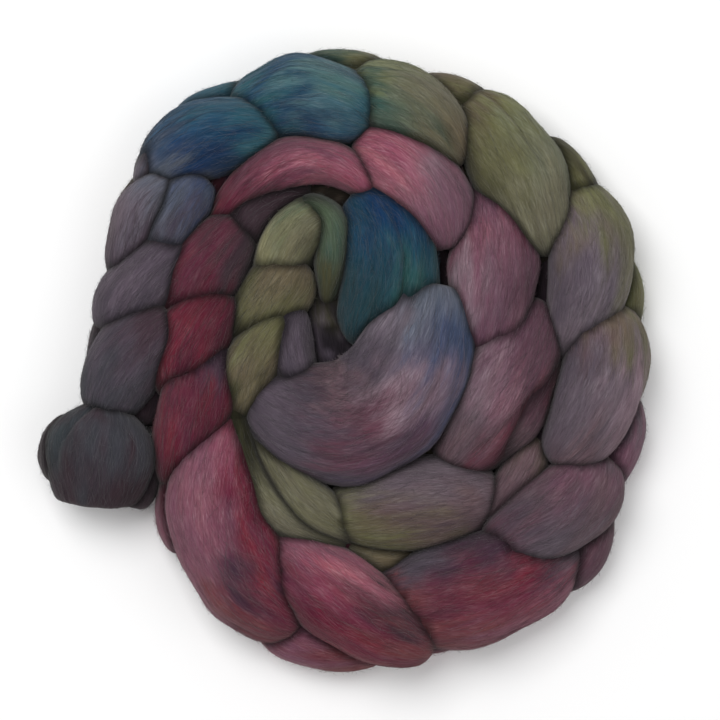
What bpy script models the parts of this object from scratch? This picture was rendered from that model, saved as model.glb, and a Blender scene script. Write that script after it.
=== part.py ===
"""Wool roving: one strand of combed wool, chained on itself into a braid and laid flat in an inward spiral.

The chain shows as a row of plump loop legs. Each leg is a soft spindle with a tail tucked under the leg
before it, and a full head that lies on the one after it. Smaller legs of the chain's back row peep out
along the outer rim and fill the underside. All legs are one strand, so they are joined into one solid.
"""

import math

import bmesh
import bpy
from mathutils import Vector

MM = 0.001

# Driving dimensions, in millimetres.
ROW_HEIGHT = 27.0  # a leg of the back row, which lies on the surface below
ROW_LEVEL = 12.5  # height of the back row's middle line
UNDER_HEIGHT = 27.0  # a leg of the underside, which fills the valleys between the turns
UNDER_LEVEL = 12.0
SURFACE_BELOW = (400.0, 400.0, 50.0)  # the block that stands for it, with its top at zero
LEG_SIDES = 14
LEG_RINGS = 11
ROW_SIDES = 10
ROW_RINGS = 8
SECTION_POWER = 0.86  # under 1 makes a section a little squarer than an ellipse
SOFT_STEP = 1.6  # the joined legs are skinned afresh in steps of this size, which softens their valleys
KEPT_SHARE = 0.058  # the share of that skin's faces that is kept

# How a leg fills out at its tail and draws in at its head: 1 is an ellipse, more is a point, less is blunt.
SHAPES = {
    "puff": (0.62, 0.62),
    "blunt": (0.50, 0.50),
    "folded": (2.40, 0.36),
    "fist": (0.62, 0.45),
    "leaf": (0.62, 1.15),
    "spear": (1.15, 0.62),
    "strand": (0.45, 0.45),
}

# One row for each leg: tail, belly and head are points (x, y, z) on its middle line, in the order in
# which the strand runs, and width is across the belly.
COLUMNS = ("name", "tail", "belly", "head", "width", "height", "shape")

OUTER_TURN = (
    ("end_puff", (-101, -13, 17), (-105, -40, 21), (-107.3, -61.5, 20), 51, 41, "folded"),
    ("end_tuck", (-118, -28, 14), (-121.5, -37.5, 18), (-122, -49, 13), 19, 32, "puff"),
    ("outer_1", (-104, -22, 12), (-92, 0, 21), (-74, 21, 23), 35, 38, "puff"),
    ("outer_2", (-99, 12, 12), (-86, 33, 21), (-68, 52, 22), 34, 38, "puff"),
    ("outer_3a", (-94, 34, 14), (-87.5, 60, 21), (-75, 77, 20), 25, 37, "puff"),
    ("outer_3b", (-82, 36, 15), (-72, 61, 21), (-60, 78, 20), 25, 37, "puff"),
    ("outer_4", (-84, 80, 15), (-59, 95, 23), (-28, 98, 22), 36, 38, "puff"),
    ("outer_4b", (-87, 74, 14), (-84, 86, 18), (-75, 98, 17), 11, 28, "puff"),
    ("outer_5", (-46, 104, 12), (-17, 112, 23), (13, 103, 23), 39, 39, "puff"),
    ("outer_6", (3, 117, 12), (28, 108.5, 22), (51, 85, 23), 36, 38, "puff"),
    ("outer_7", (52, 112, 13), (74, 83, 23), (88, 45, 21), 40, 39, "leaf"),
    ("outer_8", (97.5, 75, 12), (106.5, 41, 23), (93.5, 0, 21), 37, 39, "leaf"),
    ("outer_9", (111, 24, 12), (110, -9, 23), (89, -44, 22), 38, 39, "puff"),
    ("outer_10", (106.5, -42, 12), (94, -63, 22), (60, -82, 21), 38, 38, "puff"),
    ("outer_11", (105, -73, 12), (57, -97, 22), (8, -104, 16), 48, 40, "spear"),
    ("outer_12", (-31, -76, 15), (0, -102, 25), (39, -121.5, 21), 39, 39, "puff"),
    ("outer_13", (-46, -17, 21), (-51.5, -73, 23), (-18, -113, 20), 46.5, 40, "spear"),
    ("outer_14", (-59, 10, 14), (-63, -18, 20), (-74, -57, 14), 37, 38, "leaf"),
)

SECOND_TURN = (
    ("second_1", (-73, -14, 12), (-66, 8, 21), (-51, 31, 23), 33, 38, "puff"),
    ("second_2", (-72, 17, 12), (-61, 38, 21), (-44, 59, 22), 35, 38, "puff"),
    ("second_3", (-48, 44, 15), (-37, 65, 18), (-14, 74, 16), 25, 34, "puff"),
    ("second_4", (-62, 50, 17), (-22, 86, 23), (14, 70, 21), 22, 38, "spear"),
    ("second_5", (5, 94, 15), (31, 78, 24), (44, 48, 22), 38, 39, "puff"),
    ("second_6", (59, 75, 13), (64, 40, 23), (58, 2, 21), 39, 39, "puff"),
    ("second_7a", (81, 25, 14), (68, -9, 23), (44, -46, 21), 40, 38, "puff"),
    ("second_7b", (85, 14, 15), (78, -21, 19), (49, -46, 17), 21, 34, "puff"),
    ("second_8", (83, -31, 13), (74, -52, 17), (60, -70, 14), 23, 31, "puff"),
    ("second_9", (64.5, -56, 15), (30, -61, 23), (-6, -65, 19), 40, 39, "puff"),
    ("second_10", (-2, -78, 13), (13, -84.5, 15), (31, -82, 13), 18, 28, "puff"),
    ("second_11a", (-46, -20, 16), (-34, -59, 21), (0, -79, 17), 18, 35, "strand"),
    ("second_11b", (-37, -26, 15), (-19, -56, 22), (7, -75, 17), 21, 36, "puff"),
    ("second_12", (-48, -4, 14), (-46, -23, 16), (-40, -42, 15), 15, 30, "puff"),
)

THIRD_TURN = (
    ("third_1", (-46, -27, 12), (-38, -2, 21), (-24, 19, 22), 28, 37, "puff"),
    ("third_2", (-44, 6, 12), (-31, 27, 20), (-20, 44, 20), 32, 37, "puff"),
    ("third_3a", (-32, 30, 14), (-21, 53, 21), (-8, 63.5, 19), 29, 38, "puff"),
    ("third_3b", (-20, 66, 17), (-6, 56, 20), (-8, 22, 14), 18, 37, "puff"),
    ("third_4", (7, 72, 15), (20, 43, 23), (8, 5, 18), 44, 39, "blunt"),
    ("third_5", (-38, -13, 22), (12, -22.5, 30), (39, 32, 27), 56, 42, "fist"),
    ("third_6", (-14, -18, 18), (-23, 2, 23), (-21, 22, 18), 23, 32, "puff"),
)

# The back row and the underside share one height and level, so their rows are points (x, y) only.
ROW_COLUMNS = ("name", "tail", "belly", "head", "width")

BACK_ROW = (
    ("back_1", (-106, -12), (-98, 13), (-93, 34), 22),
    ("back_2", (-94, 56), (-85, 71), (-72, 84), 22),
    ("back_3", (-72, 99), (-53, 109.5), (-31, 110), 23),
    ("back_4", (-24, 119), (-1, 124.5), (24, 118), 24),
    ("back_5", (27, 117), (50, 112), (70, 97), 22),
    ("back_6", (84, 95), (97, 79), (107, 58), 22),
    ("back_7", (116, 46), (117.3, 27), (114, 6), 25),
    ("back_8", (118, -10), (118, -33), (109.5, -55), 24),
    ("back_9", (108, -56), (103, -78), (90, -96), 24),
    ("back_10", (68, -105), (45, -113), (22, -117), 22),
    ("back_11", (-34, -107), (-14, -118), (18, -122.5), 28),
    ("back_12", (-33, -101), (-52, -90.5), (-68, -70), 25),
    ("back_13", (-69, -82), (-73, -63), (-71, -42), 18),
    ("back_14", (-84, -32), (-87, -47), (-91, -63), 17),
)

UNDERSIDE = (
    ("under_1", (-64, 62), (-42, 85), (-12, 97), 28),
    ("under_2", (-18, 96), (16, 100), (52, 86), 28),
    ("under_3", (42, 93), (72, 70), (89, 36), 28),
    ("under_4", (88, 50), (90, 20), (89, -14), 28),
    ("under_5", (90, 0), (86, -34), (68, -68), 28),
    ("under_6", (80, -52), (56, -78), (18, -86), 28),
    ("under_7", (34, -84), (0, -81), (-34, -70), 28),
    ("under_8", (-24, -78), (-43, -46), (-47, -12), 28),
    ("under_9", (-42, 42), (-20, 67), (8, 72), 26),
    ("under_10", (0, 72), (28, 62), (43, 34), 26),
    ("under_11", (40, 46), (53, 18), (52, -16), 26),
    ("under_12", (53, -2), (40, -36), (6, -54), 26),
    ("under_13", (18, -52), (-20, -50), (-43, -16), 28),
    ("under_14", (-10, 44), (-5, 14), (-2, -10), 24),
    ("under_15", (-28, -28), (4, -26), (30, -8), 40),
    ("under_16", (-88, -28), (-84, 8), (-73, 46), 28),
    ("under_17", (-47, -22), (-50, 12), (-43, 48), 28),
)


def clear_scene():
    for item in list(bpy.data.objects):
        bpy.data.objects.remove(item, do_unlink=True)


def curve_through(tail, belly, head):
    """Returns a function of 0 to 1 that runs from tail to head and passes belly half way."""
    start, end = Vector(tail), Vector(head)
    pull = 2.0 * Vector(belly) - 0.5 * (start + end)

    def at(t):
        return (1 - t) ** 2 * start + 2 * t * (1 - t) * pull + t**2 * end

    def along(t):
        return ((1 - t) * (pull - start) + t * (end - pull)).normalized()

    return at, along


def soft_power(value, power):
    return math.copysign(abs(value) ** power, value)


def spindle(leg, sides, rings):
    """A closed bmesh of one leg of the chain: rings of points along its middle line, and a point at each end."""
    at, along = curve_through(leg["tail"], leg["belly"], leg["head"])
    tail_power, head_power = SHAPES[leg["shape"]]
    mesh = bmesh.new()
    loops = []
    for ring in range(1, rings):
        turn = math.pi * ring / rings
        t = (1 - math.cos(turn)) / 2
        power = tail_power + (head_power - tail_power) * t
        swell = math.sin(turn) ** power
        across = along(t).cross(Vector((0, 0, 1))).normalized()
        upward = across.cross(along(t))
        loop = []
        for side in range(sides):
            angle = 2 * math.pi * side / sides
            sideways = soft_power(math.cos(angle), SECTION_POWER) * leg["width"] / 2
            rise = soft_power(math.sin(angle), SECTION_POWER) * leg["height"] / 2
            point = at(t) + swell * (sideways * across + rise * upward)
            loop.append(mesh.verts.new(point * MM))
        loops.append(loop)
    first = mesh.verts.new(at(0) * MM)
    last = mesh.verts.new(at(1) * MM)
    for side in range(sides):
        after = (side + 1) % sides
        mesh.faces.new((first, loops[0][after], loops[0][side]))
        mesh.faces.new((last, loops[-1][side], loops[-1][after]))
        for near, far in zip(loops, loops[1:]):
            mesh.faces.new((near[side], near[after], far[after], far[side]))
    bmesh.ops.recalc_face_normals(mesh, faces=mesh.faces)
    return mesh


def to_object(name, mesh, collection):
    data = bpy.data.meshes.new(name)
    mesh.to_mesh(data)
    mesh.free()
    item = bpy.data.objects.new(name, data)
    collection.objects.link(item)
    return item


def hide_cutter(item):
    item.hide_render = True
    item.display_type = "WIRE"


def all_legs():
    """Every leg as (named columns, sides, rings), the widest first."""
    legs = []
    for row in OUTER_TURN + SECOND_TURN + THIRD_TURN:
        legs.append((dict(zip(COLUMNS, row)), LEG_SIDES, LEG_RINGS))
    for rows, height, level in (
        (BACK_ROW, ROW_HEIGHT, ROW_LEVEL),
        (UNDERSIDE, UNDER_HEIGHT, UNDER_LEVEL),
    ):
        for row in rows:
            leg = dict(zip(ROW_COLUMNS, row))
            for point in ("tail", "belly", "head"):
                leg[point] = (*leg[point], level)
            leg["height"] = height
            leg["shape"] = "puff"
            legs.append((leg, ROW_SIDES, ROW_RINGS))
    return sorted(legs, key=lambda entry: -entry[0]["width"])


def wool_material():
    material = bpy.data.materials.new("dyed_wool")
    material.use_nodes = True
    shader = material.node_tree.nodes["Principled BSDF"]
    shader.inputs["Base Color"].default_value = (0.16, 0.09, 0.11, 1.0)
    shader.inputs["Roughness"].default_value = 0.9
    shader.inputs["Metallic"].default_value = 0.0
    return material


def flat_cutter(collection):
    """A block whose top is the surface that the wool is pressed flat on."""
    size = Vector(SURFACE_BELOW) * MM
    block = bmesh.new()
    bmesh.ops.create_cube(block, size=1.0)
    bmesh.ops.scale(block, vec=size, verts=block.verts)
    bmesh.ops.translate(block, vec=(0, 0, -size.z / 2), verts=block.verts)
    cutter = to_object("surface_below", block, collection)
    hide_cutter(cutter)
    return cutter


def add_boolean(item, operation, **operand):
    cut = item.modifiers.new(operation.lower(), "BOOLEAN")
    cut.operation = operation
    cut.solver = "EXACT"
    for name, value in operand.items():
        setattr(cut, name, value)


def outer_skin(mesh):
    """Keeps the largest closed skin, and drops the hollows that the legs enclose between them."""
    todo = set(mesh.faces)
    skins = []
    while todo:
        skin = [todo.pop()]
        for face in skin:
            for edge in face.edges:
                for other in edge.link_faces:
                    if other in todo:
                        todo.remove(other)
                        skin.append(other)
        skins.append(skin)
    skins.sort(key=len, reverse=True)
    for hollow in skins[1:]:
        bmesh.ops.delete(mesh, geom=hollow, context="FACES")


def centre_on_origin(mesh):
    """Puts the middle of the outline over the origin. The height stays, since the flat spots lie at zero."""
    xs = [vert.co.x for vert in mesh.verts]
    ys = [vert.co.y for vert in mesh.verts]
    middle = Vector((min(xs) + max(xs), min(ys) + max(ys), 0)) / 2
    bmesh.ops.translate(mesh, vec=-middle, verts=mesh.verts)


def evaluated(item):
    """A bmesh of the object with its modifiers applied."""
    mesh = bmesh.new()
    mesh.from_object(item, bpy.context.evaluated_depsgraph_get())
    return mesh


def build():
    clear_scene()
    scene = bpy.context.scene.collection
    joined = bpy.data.collections.new("legs_to_join")
    scene.children.link(joined)
    first, *others = all_legs()
    whole = to_object("legs_joined", spindle(*first), scene)
    for leg, sides, rings in others:
        hide_cutter(to_object(leg["name"], spindle(leg, sides, rings), joined))
    add_boolean(whole, "UNION", operand_type="COLLECTION", collection=joined)
    shape = evaluated(whole)
    outer_skin(shape)
    clear_scene()
    softened = to_object("legs_softened", shape, scene)
    skin = softened.modifiers.new("new_skin", "REMESH")
    skin.mode = "VOXEL"
    skin.voxel_size = SOFT_STEP * MM
    fewer = softened.modifiers.new("fewer_faces", "DECIMATE")
    fewer.ratio = KEPT_SHARE
    add_boolean(softened, "DIFFERENCE", object=flat_cutter(scene))
    shape = evaluated(softened)
    bmesh.ops.triangulate(shape, faces=shape.faces)
    centre_on_origin(shape)
    clear_scene()
    roving = to_object("roving", shape, scene)
    roving.data.materials.append(wool_material())
    roving.data.shade_smooth()


build()
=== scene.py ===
import math

import bpy
import numpy as np
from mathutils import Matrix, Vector
from mathutils.bvhtree import BVHTree


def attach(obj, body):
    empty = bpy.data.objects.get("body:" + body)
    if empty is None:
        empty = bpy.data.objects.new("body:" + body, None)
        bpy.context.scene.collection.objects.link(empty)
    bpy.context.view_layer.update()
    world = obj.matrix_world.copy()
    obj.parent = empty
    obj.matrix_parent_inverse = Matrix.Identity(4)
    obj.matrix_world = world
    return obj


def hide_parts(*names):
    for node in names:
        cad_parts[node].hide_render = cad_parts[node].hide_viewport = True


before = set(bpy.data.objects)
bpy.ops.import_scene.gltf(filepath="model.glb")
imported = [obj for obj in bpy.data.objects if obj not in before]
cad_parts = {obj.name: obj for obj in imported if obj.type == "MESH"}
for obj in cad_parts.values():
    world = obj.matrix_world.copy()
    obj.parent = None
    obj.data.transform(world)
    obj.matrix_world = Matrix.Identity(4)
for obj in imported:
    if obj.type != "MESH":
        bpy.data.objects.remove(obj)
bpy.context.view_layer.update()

mm = 0.001
tableShift = np.array((0.16, -1.4, 0.0))  # mm, from the leg tables to the frame's origin
print("frame loaded")


# dye colours as the eye sees them, 0 to 255
dyes = {
    "charcoal": (70, 70, 78),
    "ironGrey": (60, 67, 71),
    "plumBlack": (74, 56, 66),
    "maroonBlack": (58, 42, 50),
    "plumGrey": (86, 76, 88),
    "purpleGrey": (98, 86, 98),
    "slateGrey": (98, 104, 118),
    "slateBlue": (60, 76, 108),
    "deepNavy": (24, 52, 88),
    "deepBlue": (10, 50, 94),
    "petrol": (24, 72, 94),
    "tealBlue": (40, 82, 108),
    "teal": (48, 96, 108),
    "paleTeal": (96, 132, 130),
    "greenTeal": (50, 92, 86),
    "inkTeal": (34, 66, 74),
    "darkGreen": (64, 88, 78),
    "moss": (94, 108, 80),
    "grassOlive": (126, 128, 84),
    "olive": (110, 108, 74),
    "paleOlive": (156, 152, 112),
    "greyOlive": (120, 116, 94),
    "greyGreen": (120, 124, 100),
    "darkOlive": (76, 74, 50),
    "brownOlive": (112, 100, 78),
    "darkBrown": (70, 60, 50),
    "tan": (130, 114, 96),
    "mauveGrey": (112, 98, 108),
    "brownMauve": (108, 84, 92),
    "mauveBrown": (98, 66, 80),
    "lavender": (124, 112, 124),
    "mauve": (122, 82, 100),
    "paleMauve": (150, 124, 136),
    "roseMauve": (140, 86, 104),
    "rose": (152, 74, 98),
    "pink": (172, 98, 116),
    "crimson": (122, 38, 60),
    "deepCrimson": (100, 22, 44),
    "maroon": (106, 46, 64),
    "darkRed": (90, 30, 48),
    "redBrown": (118, 60, 68),
    "darkPurple": (74, 54, 70),
    "purpleBrown": (66, 50, 58),
}

# how a leg fills out at its tail and draws in at its head
shapes = {
    "puff": (0.62, 0.62),
    "blunt": (0.50, 0.50),
    "folded": (2.40, 0.36),
    "fist": (0.62, 0.45),
    "leaf": (0.62, 1.15),
    "spear": (1.15, 0.62),
    "strand": (0.45, 0.45),
}

# Every leg of the braid in mm, by three points of its middle line. Its dyes are (how far from tail to
# head, side from -1 to 1, name), its creases (from, to, side at each end, width, depth).
outerTurn = {
    "end_puff": dict(
        tail=(-101, -13, 17), belly=(-105, -40, 21), head=(-107.3, -61.5, 20),
        width=51, height=41, shape="folded",
        dyes=((0.15, 0.3, "plumBlack"), (0.3, -0.2, "charcoal"), (0.45, 0.6, "ironGrey"),
              (0.5, -0.4, "charcoal"), (0.7, 0, "charcoal"), (0.75, 0.8, "ironGrey"),
              (0.9, -0.4, "maroonBlack"), (0.98, 0.3, "maroonBlack")),
        creases=((0.05, 0.7, 0.35, 0.72, 1.6, 2.2), (0.2, 0.9, -0.3, -0.1, 1.2, 0.9)),
    ),
    "end_tuck": dict(
        tail=(-118, -28, 14), belly=(-121.5, -37.5, 18), head=(-122, -49, 13),
        width=19, height=32, shape="puff",
        dyes=((0.2, 0, "plumBlack"), (0.6, 0, "purpleBrown"), (0.95, 0, "maroonBlack")),
    ),
    "outer_1": dict(
        tail=(-104, -22, 12), belly=(-92, 0, 21), head=(-74, 21, 23),
        width=35, height=38, shape="puff",
        dyes=((0.1, 0, "charcoal"), (0.5, -0.3, "plumGrey"), (0.95, 0.2, "plumBlack")),
    ),
    "outer_2": dict(
        tail=(-99, 12, 12), belly=(-86, 33, 21), head=(-68, 52, 22),
        width=34, height=38, shape="puff",
        dyes=((0.2, 0, "plumGrey"), (0.6, -0.4, "purpleGrey"), (0.95, 0.3, "plumGrey")),
    ),
    "outer_3a": dict(
        tail=(-94, 34, 14), belly=(-87.5, 60, 21), head=(-75, 77, 20),
        width=25, height=37, shape="puff",
        dyes=((0.2, 0, "plumGrey"), (0.45, -0.6, "plumBlack"), (0.5, 0.5, "darkPurple"),
              (0.75, -0.3, "mauveGrey"), (0.95, 0.3, "slateGrey")),
    ),
    "outer_3b": dict(
        tail=(-82, 36, 15), belly=(-72, 61, 21), head=(-60, 78, 20),
        width=25, height=37, shape="puff",
        dyes=((0.2, 0, "plumGrey"), (0.5, -0.3, "slateGrey"), (0.6, 0.6, "darkPurple"),
              (0.8, -0.3, "slateGrey"), (0.95, 0.4, "slateBlue")),
    ),
    "outer_4": dict(
        tail=(-84, 80, 15), belly=(-59, 95, 23), head=(-28, 98, 22),
        width=36, height=38, shape="puff",
        dyes=((0.08, -0.3, "slateGrey"), (0.2, 0.8, "slateGrey"), (0.22, -0.2, "deepNavy"),
              (0.34, -0.7, "tealBlue"), (0.48, 0.05, "deepBlue"), (0.6, -0.7, "tealBlue"),
              (0.66, 0.7, "deepNavy"), (0.88, 0, "teal")),
        creases=((0.2, 0.8, 0.45, 0.5, 1.2, 1.2), (0.3, 0.9, -0.3, -0.2, 1.1, 0.8)),
    ),
    "outer_4b": dict(
        tail=(-87, 74, 14), belly=(-84, 86, 18), head=(-75, 98, 17),
        width=11, height=28, shape="puff",
        dyes=((0.3, 0, "lavender"), (0.8, 0, "slateGrey")),
    ),
    "outer_5": dict(
        tail=(-46, 104, 12), belly=(-17, 112, 23), head=(13, 103, 23),
        width=39, height=39, shape="puff",
        dyes=((0.08, -0.3, "teal"), (0.28, 0.1, "teal"), (0.3, 0.8, "petrol"),
              (0.5, -0.1, "deepBlue"), (0.5, -0.85, "tealBlue"), (0.55, 0.7, "deepNavy"),
              (0.74, -0.25, "paleTeal"), (0.9, 0.5, "tealBlue"), (0.95, -0.3, "teal")),
        creases=((0.2, 0.85, 0.1, 0.25, 1.3, 1.1), (0.35, 0.9, -0.45, -0.4, 1.1, 0.8)),
    ),
    "outer_6": dict(
        tail=(3, 117, 12), belly=(28, 108.5, 22), head=(51, 85, 23),
        width=36, height=38, shape="puff",
        dyes=((0.1, 0.2, "greenTeal"), (0.26, -0.7, "grassOlive"), (0.3, 0.5, "darkGreen"),
              (0.48, -0.2, "greyGreen"), (0.55, 0.7, "darkGreen"), (0.72, -0.4, "greyOlive"),
              (0.8, 0.5, "darkOlive"), (0.93, 0, "brownOlive")),
        creases=((0.15, 0.8, -0.2, -0.3, 1.4, 1.4), (0.3, 0.9, 0.35, 0.3, 1.1, 0.9)),
    ),
    "outer_7": dict(
        tail=(52, 112, 13), belly=(74, 83, 23), head=(88, 45, 21),
        width=40, height=39, shape="leaf",
        dyes=((0.08, 0, "brownOlive"), (0.25, -0.75, "grassOlive"), (0.3, 0.1, "olive"),
              (0.35, 0.9, "darkOlive"), (0.52, -0.75, "greyGreen"), (0.55, 0.3, "olive"),
              (0.7, 0.85, "darkOlive"), (0.75, -0.2, "greyOlive"), (0.95, 0, "greyOlive")),
        creases=((0.06, 0.62, -0.62, -0.48, 1.8, 3), (0.25, 0.95, 0.3, 0.15, 1.2, 1.1)),
    ),
    "outer_8": dict(
        tail=(97.5, 75, 12), belly=(106.5, 41, 23), head=(93.5, 0, 21),
        width=37, height=39, shape="leaf",
        dyes=((0.06, 0.2, "olive"), (0.18, -0.3, "grassOlive"), (0.25, 0.5, "tan"),
              (0.36, -0.95, "olive"), (0.38, 0, "mauveGrey"), (0.5, 0.5, "purpleGrey"),
              (0.6, -0.95, "greyOlive"), (0.62, 0, "purpleGrey"), (0.78, -0.5, "lavender"),
              (0.95, 0, "mauveGrey")),
        creases=((0.25, 0.9, -0.35, -0.2, 1.3, 1.2), (0.4, 0.95, 0.3, 0.2, 1.1, 1)),
    ),
    "outer_9": dict(
        tail=(111, 24, 12), belly=(110, -9, 23), head=(89, -44, 22),
        width=38, height=39, shape="puff",
        dyes=((0.1, -0.2, "tan"), (0.22, -0.9, "olive"), (0.25, 0.5, "brownMauve"),
              (0.45, 0, "mauveGrey"), (0.5, 0.7, "plumGrey"), (0.6, -0.85, "paleMauve"),
              (0.75, 0, "mauveGrey"), (0.9, 0.4, "purpleGrey"), (0.95, -0.5, "brownMauve")),
        creases=((0.2, 0.9, 0.15, 0.1, 1.3, 1.3), (0.45, 0.95, -0.5, -0.45, 1.2, 1.2)),
    ),
    "outer_10": dict(
        tail=(106.5, -42, 12), belly=(94, -63, 22), head=(60, -82, 21),
        width=38, height=38, shape="puff",
        dyes=((0.12, 0, "mauve"), (0.35, -0.5, "brownMauve"), (0.35, 0.5, "mauve"),
              (0.55, -0.2, "plumGrey"), (0.6, 0.6, "brownMauve"), (0.75, -0.7, "mauveGrey"),
              (0.8, 0.2, "plumGrey"), (0.95, 0, "mauveBrown")),
        creases=((0.15, 0.85, 0.3, 0.1, 1.3, 1.3), (0.3, 0.9, -0.4, -0.35, 1.1, 0.9)),
    ),
    "outer_11": dict(
        tail=(105, -73, 12), belly=(57, -97, 22), head=(8, -104, 16),
        width=48, height=40, shape="spear",
        dyes=((0.1, 0, "mauveGrey"), (0.2, 0, "darkPurple"), (0.18, -0.8, "roseMauve"),
              (0.33, 0.2, "maroon"), (0.36, 0.9, "darkPurple"), (0.45, -0.3, "crimson"),
              (0.5, -0.95, "roseMauve"), (0.55, 0.6, "darkPurple"), (0.65, 0.1, "maroon"),
              (0.7, -0.6, "redBrown"), (0.8, 0.7, "plumGrey"), (0.9, -0.2, "redBrown")),
        creases=((0.12, 0.75, 0.35, 0.45, 1.4, 1.5), (0.3, 0.9, -0.35, -0.3, 1.3, 1.3)),
    ),
    "outer_12": dict(
        tail=(-31, -76, 15), belly=(0, -102, 25), head=(39, -121.5, 21),
        width=39, height=39, shape="puff",
        dyes=((0.08, 0, "roseMauve"), (0.25, -0.4, "roseMauve"), (0.3, 0.5, "maroon"),
              (0.42, 0, "rose"), (0.5, 0.7, "deepCrimson"), (0.55, -0.6, "pink"),
              (0.62, 0.3, "crimson"), (0.78, -0.2, "purpleBrown"), (0.8, 0.8, "crimson"),
              (0.95, 0.2, "redBrown")),
        creases=((0.12, 0.8, 0.35, 0.45, 1.5, 1.7), (0.3, 0.85, -0.3, -0.2, 1.2, 1)),
    ),
    "outer_13": dict(
        tail=(-46, -17, 21), belly=(-51.5, -73, 23), head=(-18, -113, 20),
        width=46.5, height=40, shape="spear",
        dyes=((0.1, 0, "rose"), (0.25, 0.3, "roseMauve"), (0.3, -0.6, "crimson"),
              (0.45, 0.6, "roseMauve"), (0.48, -0.6, "deepCrimson"), (0.52, 0.05, "roseMauve"),
              (0.65, -0.6, "crimson"), (0.66, 0.75, "roseMauve"), (0.76, 0.05, "darkPurple"),
              (0.88, -0.4, "crimson"), (0.9, 0.6, "redBrown"), (0.98, 0, "maroon")),
        creases=((0.2, 0.85, -0.25, -0.35, 1.5, 1.5), (0.58, 0.97, 0.5, 0.1, 1.7, 2),
                 (0.3, 0.8, 0.35, 0.3, 1.2, 0.9)),
    ),
    "outer_14": dict(
        tail=(-59, 10, 14), belly=(-63, -18, 20), head=(-74, -57, 14),
        width=37, height=38, shape="leaf",
        dyes=((0.1, 0, "darkPurple"), (0.45, 0.3, "maroon"), (0.6, -0.5, "darkRed"),
              (0.75, 0.5, "crimson"), (0.95, 0, "darkRed")),
        creases=((0.25, 0.9, 0.1, 0.15, 1.3, 1.1),),
    ),
}
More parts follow.
